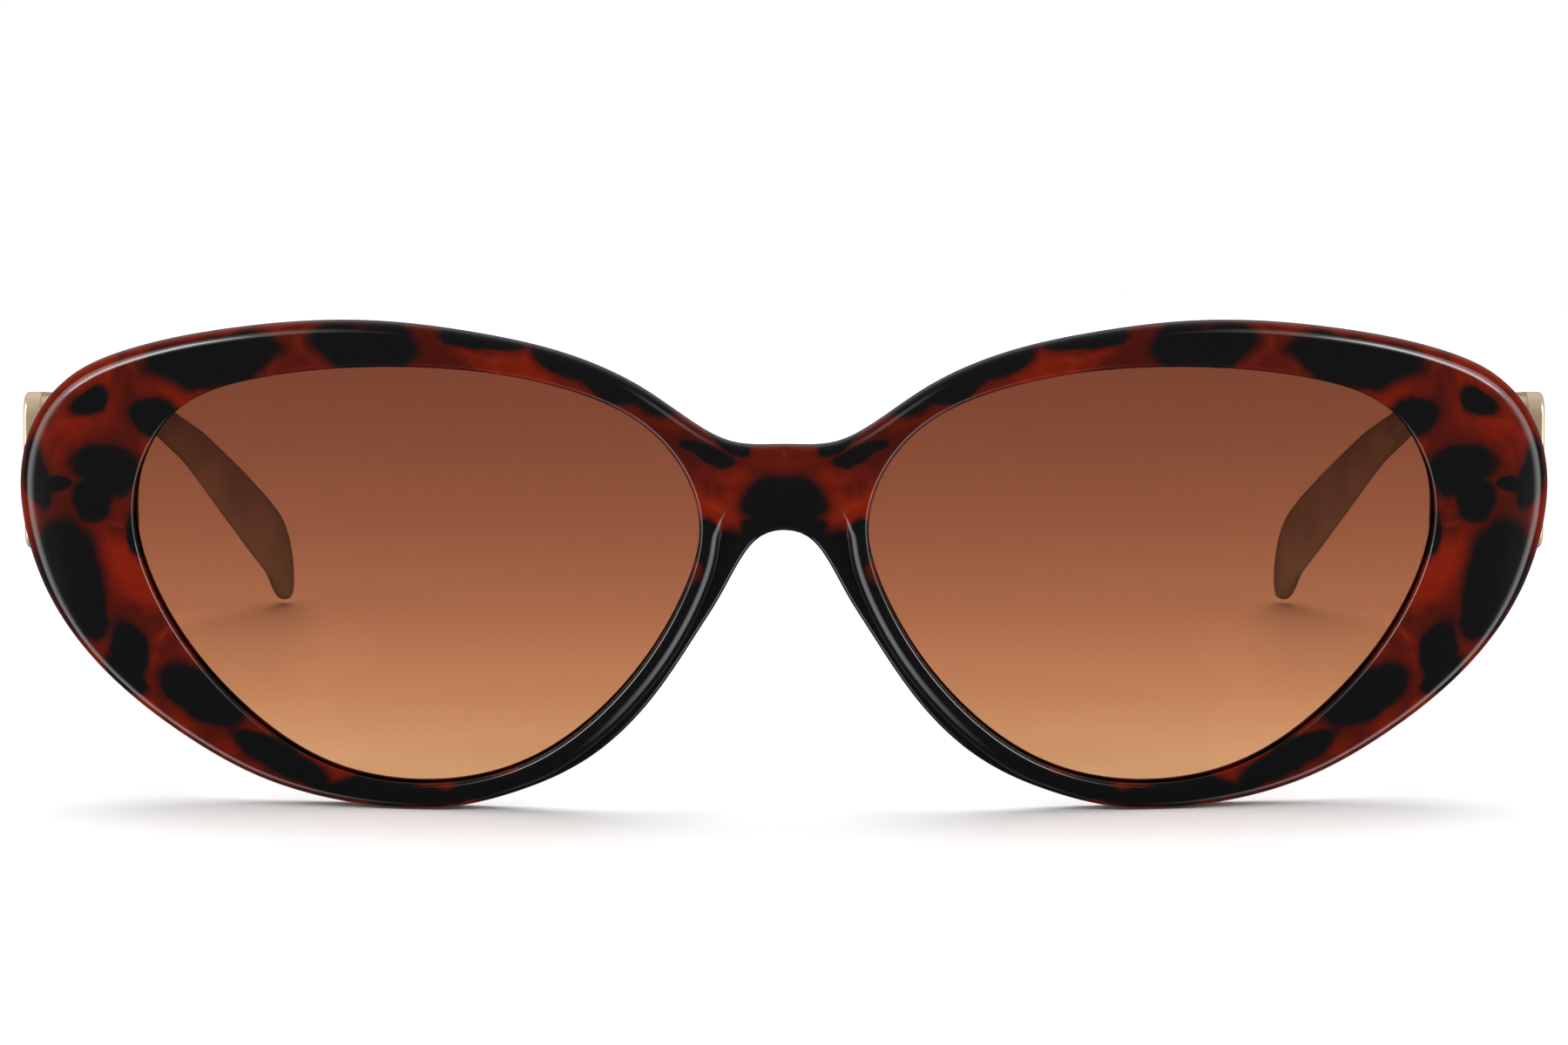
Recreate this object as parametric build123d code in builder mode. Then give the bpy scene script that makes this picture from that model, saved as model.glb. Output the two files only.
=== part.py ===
from build123d import *
from math import cos, radians, sin, sqrt, tan
import os

os.makedirs("parts", exist_ok=True)

# Cat eye sunglasses, standing open on their rims and temple tips.
# +Z is up, the front faces -Y, and the origin is at the bottom centre of the open glasses.
# Left is the wearer's left, at +X. Each right-hand piece mirrors the left-hand one.

# ---- front and lenses: driving dimensions in mm ----
lens_width = 53.7            # visible lens, left to right
lens_height = 39.5           # visible lens, bottom to top
nose_gap = 15.9              # between the two visible lenses
lens_floor = 2.45            # lowest point of the visible lens above the table
base_curve = 220.0           # radius of the front's outer face
front_thickness = 4.0
lens_thickness = 1.9
lens_recess = 1.1            # from the front's outer face back to the lens
groove_depth = 0.8           # how far the lens reaches into the rim
groove_clearance = 0.05      # round the edge of the lens
bridge_height = 7.95
bridge_drop = 7.15           # top of the bridge below the top of the lens
bridge_flat = 3.3            # half width of the bridge's level top
front_edge_radius = 1.2
lens_edge_radius = 0.7
back_edge_radius = 0.6
lip_share = 0.65             # most of a lip beside the lens that a rounded edge may take
pad_height = 13.0
pad_depth = 5.5              # how far a nose pad stands out behind the front
pad_mid_height = 15.0
pad_width = 2.0
pad_inset = 0.4              # from the rim's inner edge
pad_region = 14.0            # how far from the nose gap a pad may reach round the rim

# ---- hinges ----
hinge_outset = 5.65          # hinge axis beyond the outer side of the lens
hinge_rise = 8.8             # middle of the hinge above the middle of the lens
knuckle_radius = 1.5
knuckle_height = 2.4
washer_thickness = 0.2
hinge_play = 0.02            # between the washers and the temple's knuckle
screw_radius = 0.7
screw_clearance = 0.03
screw_head_radius = 1.1
screw_head_height = 0.55
head_clearance = 0.05
screw_slot_width = 0.3
leaf_thickness = 0.9
leaf_gap = 0.1               # between the temple's knuckle and the front leaf's plate
temple_leaf_gap = 0.3        # between the front's knuckles and the temple leaf
boss_width = 7.4
boss_height = 9.6
boss_rise = 1.3              # behind the front's back face, at the hinge
boss_corner_radius = 1.2
leaf_margin = 0.6            # boss showing round the front leaf
temple_leaf_start = 0.7      # temple leaf's end ahead of the hinge axis
temple_leaf_length = 10.0
rivet_end_margin = 1.6       # from the last rivet to the temple leaf's end
rivet_radius = 0.6
rivet_head_radius = 1.0
rivet_head_height = 0.4
rivet_spacing = 4.0
rivet_depth = 1.4            # into the piece that the rivet holds

# ---- temples: mm and degrees ----
temple_length = 133.0        # from the front end of the temple to its tip
temple_gap = 0.2             # between the open temple and the back of the front
temple_drop_angle = 6.2      # how much the temple falls towards the back
temple_inward_angle = 1.9
arm_thickness = 1.5
arm_height = 14.5            # at the front end
arm_top_rise = 7.0           # top of the arm above the middle of the hinge
arm_slim_height = 2.4
arm_sweep_start = 20.0       # where the arm's lower edge begins to rise
arm_sweep_end = 50.0
plaque_thickness = 1.6
plaque_length = 23.0
plaque_height = 15.4
plaque_top_rise = 7.45       # top of the plaque above the middle of the hinge
plaque_corner_radius = 2.2
plaque_edge_radius = 0.4
trim_bar_length = 17.0
trim_bar_height = 1.9
trim_bar_rise = 0.3
trim_bar_drop = 4.35         # top of the bar below the top of the plaque
sleeve_length = 59.0         # plastic sleeve over the back end of the temple
sleeve_half_width = 1.6
sleeve_mouth_half_height = 1.45
sleeve_half_height = 3.7     # at the tallest part of the tip
sleeve_end_radius = 2.6
sleeve_inward = 7.9          # how far the tip bends towards the head
core_radius = 0.6            # round wire inside the sleeve
core_clearance = 0.05

# ---- places worked out from the driving dimensions ----
lens_centre_x = (nose_gap + lens_width) / 2
lens_centre_z = lens_floor + lens_height / 2
bridge_top = lens_floor + lens_height - bridge_drop
hinge_x = nose_gap / 2 + lens_width + hinge_outset
hinge_z = lens_centre_z + hinge_rise
temple_offset = knuckle_radius + temple_leaf_gap + leaf_thickness
temple_x = hinge_x + temple_offset


def shell_sag(x, z, depth=0.0):
    """How far a point of the curved shell lies behind the front's foremost point."""
    height = z - lens_centre_z
    return base_curve - sqrt((base_curve - depth) ** 2 - x ** 2 - height ** 2)


temple_sag = shell_sag(temple_x + arm_thickness + plaque_thickness, hinge_z, front_thickness)
overall_depth = temple_sag + temple_gap + temple_length
front_y = -overall_depth / 2
temple_y = front_y + temple_sag + temple_gap
shell_centre = (0, front_y + base_curve, lens_centre_z)
boss_back_y = front_y + shell_sag(hinge_x, hinge_z, front_thickness) + boss_rise
hinge_y = boss_back_y + leaf_thickness + leaf_gap + knuckle_radius
stack_height = 3 * knuckle_height + 2 * washer_thickness
hinge_bottom = hinge_z - stack_height / 2
arm_top = hinge_z + arm_top_rise
plaque_top = hinge_z + plaque_top_rise
slab_depth = shell_sag(temple_x + arm_thickness, hinge_z, front_thickness) + 4

# The temple's plane: x runs back along the temple, y is up and z points outwards.
inward = radians(temple_inward_angle)
temple_plane = Plane(
    origin=(temple_x, temple_y, 0),
    x_dir=(-sin(inward), cos(inward), 0),
    z_dir=(cos(inward), sin(inward), 0),
)


def facing(y):
    """A sketch plane across the glasses at y, seen from the front."""
    return Plane.XZ.offset(-y)


# ---- outlines of the front ----

# The visible lens as shares of its half width and half height, from its top point outwards.
lens_shape = [
    (0.074, 1.0), (0.54, 0.937), (0.838, 0.775), (1.0, 0.334), (0.922, -0.127),
    (0.646, -0.623), (0.32, -0.92), (0.0, -1.0), (-0.376, -0.896), (-0.685, -0.587),
    (-0.931, -0.101), (-1.0, 0.278), (-0.86, 0.673), (-0.536, 0.904),
]
# Where the bridge turns up into the rims: out and up from the end of its level top.
bridge_shoulder = [(1.651, 0.319), (4.893, 1.87)]
# Width of the rim at shares of the way round the lens, from the nose side over the top,
# out to the raised corner and back under the lens to the nose.
rim_widths = [
    (0.845, 2.7), (0.90, 3.05), (0.95, 3.4), (0.0, 4.0),
    (0.05, 4.46), (0.10, 4.97), (0.148, 7.6), (0.168, 10.0), (0.185, 11.2), (0.208, 11.4),
    (0.225, 10.9), (0.25, 10.1), (0.30, 8.1), (0.35, 6.0), (0.40, 4.2), (0.45, 2.75),
    (0.50, 2.4), (0.55, 2.35), (0.60, 2.8), (0.65, 2.8), (0.70, 2.9),
]
# The arch under the bridge, as shares of half the nose gap and drops below the arch.
arch_shape = [(0.77, 6.5), (0.52, 2.9), (0.26, 0.55), (0.0, 0.0)]

lens_edge = Edge.make_spline(
    [
        (
            lens_centre_x + across * lens_width / 2,
            0,
            lens_centre_z + up * lens_height / 2,
        )
        for across, up in lens_shape
    ],
    periodic=True,
)


def beside_lens(share, distance):
    """Point (x, z) at a distance outside the visible lens, at a share of its edge."""
    point = lens_edge @ share
    along = lens_edge % share
    return (point.X - distance * along.Z, point.Z + distance * along.X)


def lens_ring(distance, points=28):
    return [beside_lens(index / points, distance) for index in range(points)]


def mirrored(points):
    return [(-x, z) for x, z in reversed(points)]


half_outline = [(bridge_flat, bridge_top)]
half_outline += [(bridge_flat + out, bridge_top + up) for out, up in bridge_shoulder]
half_outline += [beside_lens(share, width) for share, width in rim_widths]
half_outline += [
    (across * nose_gap / 2, bridge_top - bridge_height - drop)
    for across, drop in arch_shape
]
front_outline = half_outline + mirrored(half_outline[:-1]) + [(0, bridge_top)]


def shell_between(outer_depth, inner_depth):
    """Keep only what lies between two depths behind the front's curved outer face."""
    with Locations(shell_centre):
        Sphere(base_curve - outer_depth, mode=Mode.INTERSECT)
        Sphere(base_curve - inner_depth, mode=Mode.SUBTRACT)


def shell_edges(piece, depth):
    """Edges on the curved face at a depth, longest first."""
    centre = Vector(*shell_centre)
    on_face = [
        edge
        for edge in piece.edges()
        if abs(((edge @ 0.5) - centre).length - (base_curve - depth)) < 0.01
    ]
    return sorted(on_face, key=lambda edge: -edge.length)


# ---- lenses ----

with BuildPart() as lens_left:
    with BuildSketch(facing(front_y - 1)):
        with BuildLine():
            Spline(*lens_ring(groove_depth), periodic=True)
        make_face()
    extrude(amount=-slab_depth)
    shell_between(lens_recess, lens_recess + lens_thickness)

with BuildPart() as lens_groove:
    with BuildSketch(facing(front_y - 1)):
        with BuildLine():
            Spline(*lens_ring(groove_depth + groove_clearance), periodic=True)
        make_face()
    extrude(amount=-slab_depth)
    shell_between(lens_recess, lens_recess + lens_thickness)


# ---- nose pads: glued behind the rims, one each side of the nose ----

with BuildPart() as nose_pad_left:
    with BuildSketch(facing(front_y)):
        with BuildLine():
            Spline(*lens_ring(pad_inset + pad_width), periodic=True)
        make_face()
        with BuildLine():
            Spline(*lens_ring(pad_inset), periodic=True)
        make_face(mode=Mode.SUBTRACT)
        with Locations((nose_gap / 2, pad_mid_height)):
            Rectangle(pad_region, pad_height, mode=Mode.INTERSECT)
    extrude(amount=-slab_depth)
    with BuildSketch(Plane.YZ):
        with Locations((front_y + front_thickness, pad_mid_height)):
            Ellipse(pad_height / 2, pad_depth, rotation=90)
    extrude(amount=lens_width, mode=Mode.INTERSECT)
    with Locations(shell_centre):
        Sphere(base_curve - front_thickness, mode=Mode.INTERSECT)

# ---- hinge fasteners ----

knuckle_bottoms = [hinge_bottom + i * (knuckle_height + washer_thickness) for i in range(3)]
hinge_top = hinge_bottom + stack_height
front_leaf_back_y = boss_back_y + leaf_thickness
front_leaf_inner_x = temple_x - boss_width + leaf_margin
front_leaf_outer_x = hinge_x + knuckle_radius
temple_leaf_front = hinge_y - temple_y - temple_leaf_start
upright = (Align.CENTER, Align.CENTER, Align.MIN)

with BuildPart() as hinge_screw_left:
    shank_height = stack_height - screw_head_height - knuckle_height / 8
    with Locations((hinge_x, hinge_y, hinge_bottom + knuckle_height / 8)):
        Cylinder(screw_radius, shank_height, align=upright)
    with Locations((hinge_x, hinge_y, hinge_top - screw_head_height)):
        Cylinder(screw_head_radius, screw_head_height, align=upright)
    with Locations((hinge_x, hinge_y, hinge_top)):
        Box(2 * screw_head_radius, screw_slot_width, screw_head_height, mode=Mode.SUBTRACT)

with BuildPart() as hinge_washers_left:
    washer_height = washer_thickness - hinge_play
    washer_places = [knuckle_bottoms[0] + knuckle_height, knuckle_bottoms[2] - washer_height]
    with Locations(*[(hinge_x, hinge_y, bottom) for bottom in washer_places]):
        Cylinder(knuckle_radius - leaf_gap, washer_height, align=upright)
        Cylinder(
            screw_radius + screw_clearance, washer_height, align=upright, mode=Mode.SUBTRACT
        )

with BuildPart() as hinge_rivets_left:
    rivet_x = front_leaf_inner_x + rivet_head_radius + leaf_gap
    rivet_places = [(rivet_x, hinge_z - rivet_spacing / 2), (rivet_x, hinge_z + rivet_spacing / 2)]
    with BuildSketch(facing(front_leaf_back_y)):
        with Locations(*rivet_places):
            Circle(rivet_radius)
    extrude(amount=leaf_thickness + rivet_depth)
    with BuildSketch(facing(front_leaf_back_y)):
        with Locations(*rivet_places):
            Circle(rivet_head_radius)
    extrude(amount=-rivet_head_height)

with BuildPart() as temple_rivets_left:
    last_rivet = temple_leaf_front + temple_leaf_length - rivet_end_margin
    rivet_ends = [(last_rivet - rivet_spacing, hinge_z), (last_rivet, hinge_z)]
    with BuildSketch(temple_plane.offset(-leaf_thickness)):
        with Locations(*rivet_ends):
            Circle(rivet_radius)
    extrude(amount=leaf_thickness + arm_thickness + plaque_thickness / 2)
    with BuildSketch(temple_plane.offset(-leaf_thickness)):
        with Locations(*rivet_ends):
            Circle(rivet_head_radius)
    extrude(amount=-rivet_head_height)

with BuildPart() as plaque_rivets_left:
    pin_along = plaque_length - 2 * rivet_spacing
    pin_middle = plaque_top - plaque_height / 2
    pin_places = [
        (pin_along, pin_middle - rivet_spacing),
        (pin_along, pin_middle + rivet_spacing / 2),
    ]
    with BuildSketch(temple_plane):
        with Locations(*pin_places):
            Circle(rivet_radius)
    extrude(amount=arm_thickness + plaque_thickness / 2)
    with BuildSketch(temple_plane):
        with Locations(*pin_places):
            Circle(rivet_head_radius)
    extrude(amount=-rivet_head_height)

# ---- hinge leaves: two knuckles on the front, one on the temple ----

with BuildPart() as front_hinge_left:
    with BuildSketch(facing(boss_back_y)):
        leaf_width = front_leaf_outer_x - front_leaf_inner_x
        with Locations((front_leaf_inner_x + leaf_width / 2, hinge_z)):
            Rectangle(leaf_width, stack_height)
    extrude(amount=-leaf_thickness)
    for bottom in (knuckle_bottoms[0], knuckle_bottoms[2]):
        with BuildSketch(Plane.XY.offset(bottom)):
            with Locations((hinge_x, hinge_y)):
                Circle(knuckle_radius)
            root_depth = hinge_y - boss_back_y
            with Locations((hinge_x, hinge_y - root_depth / 2)):
                Rectangle(2 * knuckle_radius, root_depth)
        extrude(amount=knuckle_height)
    with Locations((hinge_x, hinge_y, knuckle_bottoms[2])):
        Cylinder(
            screw_radius + screw_clearance, knuckle_height, align=upright, mode=Mode.SUBTRACT
        )
    with Locations((hinge_x, hinge_y, hinge_top - screw_head_height)):
        Cylinder(
            screw_head_radius + head_clearance,
            screw_head_height,
            align=upright,
            mode=Mode.SUBTRACT,
        )
    with Locations((hinge_x, hinge_y, hinge_bottom)):
        Cylinder(screw_radius, knuckle_height, align=upright, mode=Mode.SUBTRACT)
    add(hinge_rivets_left.part, mode=Mode.SUBTRACT)

with BuildPart() as temple_hinge_left:
    with BuildSketch(temple_plane):
        with Locations((temple_leaf_front + temple_leaf_length / 2, hinge_z)):
            Rectangle(temple_leaf_length, stack_height)
    extrude(amount=-leaf_thickness)
    with BuildSketch(Plane.XY.offset(knuckle_bottoms[1])):
        with Locations((hinge_x, hinge_y)):
            Circle(knuckle_radius)
        root_width = temple_offset - leaf_thickness / 2
        with Locations((hinge_x + root_width / 2, hinge_y)):
            Rectangle(root_width, 2 * knuckle_radius)
    extrude(amount=knuckle_height)
    with Locations((hinge_x, hinge_y, knuckle_bottoms[1])):
        Cylinder(
            screw_radius + screw_clearance, knuckle_height, align=upright, mode=Mode.SUBTRACT
        )
    add(temple_rivets_left.part, mode=Mode.SUBTRACT)

# ---- temples ----


def top_of_arm(along):
    """Height of the arm's top edge at a distance behind its front end."""
    return arm_top - along * tan(radians(temple_drop_angle))


sleeve_start = temple_length - sleeve_length
sleeve_start_z = top_of_arm(sleeve_start) - arm_slim_height / 2
arm_bottom = arm_top - arm_height
end_growth = sleeve_end_radius - sleeve_mouth_half_height
tip_growth = sleeve_half_height - sleeve_mouth_half_height
# Sleeve stations as shares: along the sleeve, down to the table, inwards, and grown in height.
sleeve_stations = [
    (0.0, 0.0, 0.0, 0.0), (0.12, 0.042, 0.0, 0.03), (0.24, 0.11, 0.02, 0.11),
    (0.41, 0.246, 0.228, 0.32), (0.53, 0.389, 0.43, 0.56), (0.64, 0.539, 0.658, 0.79),
    (0.76, 0.685, 0.848, 0.985), (0.86, 0.8, 0.975, 1.0),
    (1.0, 1.0, 1.0, end_growth / tip_growth),
]


def sleeve_centre(along, down, inwards):
    """Centre of a sleeve section, in the assembly's own axes."""
    reach = sleeve_start + along * (sleeve_length - sleeve_end_radius)
    height = sleeve_start_z - down * (sleeve_start_z - sleeve_end_radius)
    return temple_plane.from_local_coords(
        Vector(reach, height, arm_thickness / 2 - inwards * sleeve_inward)
    )


sleeve_centres = [sleeve_centre(*station[:3]) for station in sleeve_stations]


def section_plane(index):
    """A plane square to the sleeve at a station, with its x axis pointing up."""
    before = sleeve_centres[max(index - 1, 0)]
    after = sleeve_centres[min(index + 1, len(sleeve_centres) - 1)]
    along = (after - before).normalized()
    sideways = along.cross(Vector(0, 0, 1)).normalized()
    return Plane(sleeve_centres[index], x_dir=sideways.cross(along), z_dir=along)


station_planes = [section_plane(index) for index in range(len(sleeve_centres))]
core_planes = station_planes[:-1]

with BuildPart() as core_bore:
    for plane in core_planes:
        with BuildSketch(plane):
            Circle(core_radius + core_clearance)
    loft()

with BuildPart() as sleeve_end:
    with BuildSketch(station_planes[-1]):
        Ellipse(sleeve_end_radius, sleeve_half_width)
    extrude(amount=sleeve_end_radius)
    with BuildSketch(Plane(sleeve_centres[-1], z_dir=station_planes[-1].y_dir)):
        Circle(sleeve_end_radius)
    extrude(amount=sleeve_half_width, both=True, mode=Mode.INTERSECT)
    end_plane = Plane(
        sleeve_centres[-1], x_dir=station_planes[-1].z_dir, z_dir=station_planes[-1].x_dir
    )
    with BuildSketch(end_plane):
        Ellipse(sleeve_end_radius, sleeve_half_width)
    extrude(amount=sleeve_end_radius, both=True, mode=Mode.INTERSECT)

with BuildPart() as temple_tip_left:
    for plane, station in zip(station_planes, sleeve_stations):
        with BuildSketch(plane):
            Ellipse(sleeve_mouth_half_height + station[3] * tip_growth, sleeve_half_width)
    loft()
    add(sleeve_end.part)
    add(core_bore.part, mode=Mode.SUBTRACT)

with BuildPart() as temple_arm_left:
    with BuildSketch(temple_plane):
        with BuildLine():
            sweep_rise = (arm_sweep_end - arm_sweep_start) / 2
            slim_bottom = top_of_arm(arm_sweep_end) - arm_slim_height
            slope = tan(radians(temple_drop_angle))
            Polyline(
                (arm_sweep_start, arm_bottom),
                (0, arm_bottom),
                (0, arm_top),
                (sleeve_start, top_of_arm(sleeve_start)),
                (sleeve_start, top_of_arm(sleeve_start) - arm_slim_height),
                (arm_sweep_end, slim_bottom),
            )
            Bezier(
                (arm_sweep_end, slim_bottom),
                (arm_sweep_end - sweep_rise, slim_bottom + sweep_rise * slope),
                (arm_sweep_start + sweep_rise, arm_bottom),
                (arm_sweep_start, arm_bottom),
            )
        arm_face = make_face()
        fillet(arm_face.vertices().group_by(Axis.X)[0], plaque_corner_radius)
    extrude(amount=arm_thickness)
    for plane in core_planes:
        with BuildSketch(plane):
            Circle(core_radius)
    loft()
    add(temple_rivets_left.part, mode=Mode.SUBTRACT)
    add(plaque_rivets_left.part, mode=Mode.SUBTRACT)

with BuildPart() as temple_plaque_left:
    with BuildSketch(temple_plane.offset(arm_thickness)):
        with BuildLine():
            Polyline(
                (0, plaque_top),
                (plaque_length, plaque_top - plaque_length * slope),
                (plaque_length, plaque_top - plaque_height),
                (0, plaque_top - plaque_height),
                close=True,
            )
        plaque_face = make_face()
        fillet(plaque_face.vertices(), plaque_corner_radius)
    extrude(amount=plaque_thickness)
    outward = Axis((0, 0, 0), (cos(inward), sin(inward), 0))
    fillet(temple_plaque_left.faces().sort_by(outward)[-1].edges(), plaque_edge_radius)
    add(temple_rivets_left.part, mode=Mode.SUBTRACT)
    add(plaque_rivets_left.part, mode=Mode.SUBTRACT)

with BuildPart() as trim_bar_left:
    with BuildSketch(temple_plane.offset(arm_thickness + plaque_thickness)):
        bar_start = (plaque_length - trim_bar_length) / 2
        bar_end = bar_start + trim_bar_length
        bar_top = plaque_top - trim_bar_drop
        with BuildLine():
            Polyline(
                (bar_start, bar_top - bar_start * slope),
                (bar_end, bar_top - bar_end * slope),
                (bar_end, bar_top - trim_bar_height - bar_end * slope),
                (bar_start, bar_top - trim_bar_height - bar_start * slope),
                close=True,
            )
        bar_face = make_face()
        fillet(bar_face.vertices(), trim_bar_height / 3)
    extrude(amount=trim_bar_rise)

# ---- front: two rims and the bridge in one piece ----

with BuildPart() as hinge_boss:
    with BuildSketch(facing(front_y)):
        with Locations((temple_x - boss_width / 2, hinge_z)):
            RectangleRounded(boss_width, boss_height, boss_corner_radius)
    extrude(amount=-(boss_back_y - front_y))
    with Locations(shell_centre):
        Sphere(base_curve - front_thickness / 2, mode=Mode.INTERSECT)

with BuildPart() as front:
    with BuildSketch(facing(front_y)):
        with BuildLine():
            Spline(*front_outline, periodic=True)
        make_face()
        for hole in (lens_ring(0.0), mirrored(lens_ring(0.0))):
            with BuildLine():
                Spline(*hole, periodic=True)
            make_face(mode=Mode.SUBTRACT)
    extrude(amount=-slab_depth)
    shell_between(0.0, front_thickness)
    add(lens_groove.part, mode=Mode.SUBTRACT)
    mirror(lens_groove.part, about=Plane.YZ, mode=Mode.SUBTRACT)
    fillet(shell_edges(front, 0.0)[0], front_edge_radius)
    fillet(shell_edges(front, 0.0)[-2:], min(lens_edge_radius, lip_share * lens_recess))
    back_lip = front_thickness - lens_recess - lens_thickness
    fillet(shell_edges(front, front_thickness)[0], back_edge_radius)
    fillet(shell_edges(front, front_thickness)[-2:], min(back_edge_radius, lip_share * back_lip))
    add(hinge_boss.part)
    mirror(hinge_boss.part, about=Plane.YZ)
    add(hinge_rivets_left.part, mode=Mode.SUBTRACT)
    mirror(hinge_rivets_left.part, about=Plane.YZ, mode=Mode.SUBTRACT)

# ---- name and write every piece ----

left_pieces = {
    "lens": lens_left,
    "nose_pad": nose_pad_left,
    "front_hinge": front_hinge_left,
    "hinge_rivets": hinge_rivets_left,
    "hinge_screw": hinge_screw_left,
    "hinge_washers": hinge_washers_left,
    "temple_hinge": temple_hinge_left,
    "temple_rivets": temple_rivets_left,
    "temple_arm": temple_arm_left,
    "temple_plaque": temple_plaque_left,
    "plaque_rivets": plaque_rivets_left,
    "trim_bar": trim_bar_left,
    "temple_tip": temple_tip_left,
}

front.part.label = "front"
export_step(front.part, "parts/front.step")

for name, left_piece in left_pieces.items():
    left_piece.part.label = f"{name}_left"
    export_step(left_piece.part, f"parts/{name}_left.step")
    with BuildPart() as right_piece:
        mirror(left_piece.part, about=Plane.YZ)
    right_piece.part.label = f"{name}_right"
    export_step(right_piece.part, f"parts/{name}_right.step")
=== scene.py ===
import math

import bpy
import numpy as np
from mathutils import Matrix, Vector


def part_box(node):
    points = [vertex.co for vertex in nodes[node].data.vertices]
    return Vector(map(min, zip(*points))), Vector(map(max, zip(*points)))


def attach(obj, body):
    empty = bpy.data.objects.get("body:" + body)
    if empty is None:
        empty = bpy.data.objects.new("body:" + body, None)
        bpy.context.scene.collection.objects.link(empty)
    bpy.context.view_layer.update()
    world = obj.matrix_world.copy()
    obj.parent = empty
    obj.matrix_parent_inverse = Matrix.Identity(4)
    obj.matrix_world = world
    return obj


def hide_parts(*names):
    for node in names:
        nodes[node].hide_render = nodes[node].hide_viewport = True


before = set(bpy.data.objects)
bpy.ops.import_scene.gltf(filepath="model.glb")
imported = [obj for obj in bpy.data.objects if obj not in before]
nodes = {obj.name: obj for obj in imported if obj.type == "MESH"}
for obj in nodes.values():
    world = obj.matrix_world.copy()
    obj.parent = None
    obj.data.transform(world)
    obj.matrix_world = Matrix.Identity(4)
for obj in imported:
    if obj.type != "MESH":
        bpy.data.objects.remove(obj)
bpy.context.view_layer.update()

MM = 0.001
SIDES = {"left": 1, "right": -1}

# ---- sizes of the front, in millimetres, as the CAD model has them ----
BASE_CURVE = 220.0          # radius of the front's outer face
FRONT_THICKNESS = 4.0
LENS_RECESS = 1.1           # from the front's outer face back to the lens
LENS_THICKNESS = 1.9
GROOVE_DEPTH = 0.8
GROOVE_ROOM = 0.03
BRIDGE_DROP = 7.15          # top of the bridge below the top of the visible lens
BRIDGE_HEIGHT = 7.95
BRIDGE_FLAT = 3.3
OUTER_EDGE = 1.25           # rounding radii: outer front edge
LOWER_EDGE = 0.80           # outer front edge, low on the rims
FLANGE_EDGE = 0.45          # outer front edge, on the nose flange
LENS_SIDE_EDGE = 0.55       # front edge beside the lens
BACK_EDGE = 0.7             # outer back edge
GROOVE_EDGE = 0.35          # back edge beside the lens
LOWER_TOP = 26.0            # height where the outer edge begins to change to the lower one
LOWER_BLEND = 8.0           # over this much height
BEAD_WIDTH = 2.15           # raised bead beside the lens, on the nose side
BEAD_EDGE = 2.0
BEAD_MARGIN = 0.35          # least width of rim left outside the bead
FLANGE_DROP = 1.5           # how far the nose flange lies behind the bead
CREASE_SHARE = 0.45         # of the rim's width, where the mesh divides away from the flange
CREASE_MARGIN = 0.5         # least width left outside that division
BOSS_SHIFT = 0.3            # hinge boss's middle, inwards from the hinge leaf's
BOSS_MARGIN = (0.5, 0.6)    # boss beyond the hinge leaf, across and up
BOSS_BLEND = 1.2            # from the boss back to the rim


def millimetres(corner):
    return np.array(corner) / MM


lens_low, lens_high = (millimetres(corner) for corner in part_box("lens_left"))
lens_x, lens_z = (lens_low[0] + lens_high[0]) / 2, (lens_low[2] + lens_high[2]) / 2
half_width = (lens_high[0] - lens_low[0]) / 2 - GROOVE_DEPTH
half_height = (lens_high[2] - lens_low[2]) / 2 - GROOVE_DEPTH
half_gap = lens_low[0] + GROOVE_DEPTH
bridge_top = lens_z + half_height - BRIDGE_DROP
bridge_bottom = bridge_top - BRIDGE_HEIGHT


def sag(x, z, depth=0.0):
    """How far the curved shell's face lies behind its foremost point."""
    return BASE_CURVE - np.sqrt((BASE_CURVE - depth) ** 2 - x ** 2 - (z - lens_z) ** 2)


lens_points = np.array([millimetres(v.co) for v in nodes["lens_left"].data.vertices])
front_y = np.min(lens_points[:, 1] - sag(lens_points[:, 0], lens_points[:, 2], LENS_RECESS))
boss_low, boss_high = (millimetres(corner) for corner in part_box("front_hinge_left"))
boss_y = boss_low[1]

# ---- outlines ----

# The visible lens as shares of its half width and half height, from its top outwards.
LENS_SHAPE = [
    (0.074, 1.0), (0.54, 0.937), (0.838, 0.775), (1.0, 0.334), (0.922, -0.127),
    (0.646, -0.623), (0.32, -0.92), (0.0, -1.0), (-0.376, -0.896), (-0.685, -0.587),
    (-0.931, -0.101), (-1.0, 0.278), (-0.86, 0.673), (-0.536, 0.904),
]
# Rim width at shares of the way round the lens, from the nose over the top and back.
RIM_WIDTHS = [
    (0.796, 5.2), (0.812, 3.4), (0.845, 2.7), (0.90, 3.05), (0.95, 3.4), (0.0, 4.0),
    (0.05, 4.46), (0.10, 4.97), (0.148, 7.6), (0.168, 10.0), (0.185, 11.2), (0.208, 11.4),
    (0.225, 10.9), (0.25, 10.1), (0.30, 8.1), (0.35, 6.0), (0.40, 4.2), (0.45, 2.75),
    (0.50, 2.4), (0.55, 2.35), (0.60, 2.8), (0.65, 2.8), (0.70, 2.9),
]
# The arch under the bridge: shares of half the nose gap, and drops below the arch.
ARCH_SHAPE = [(0.77, 6.5), (0.52, 2.9), (0.26, 0.55), (0.0, 0.0)]


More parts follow.
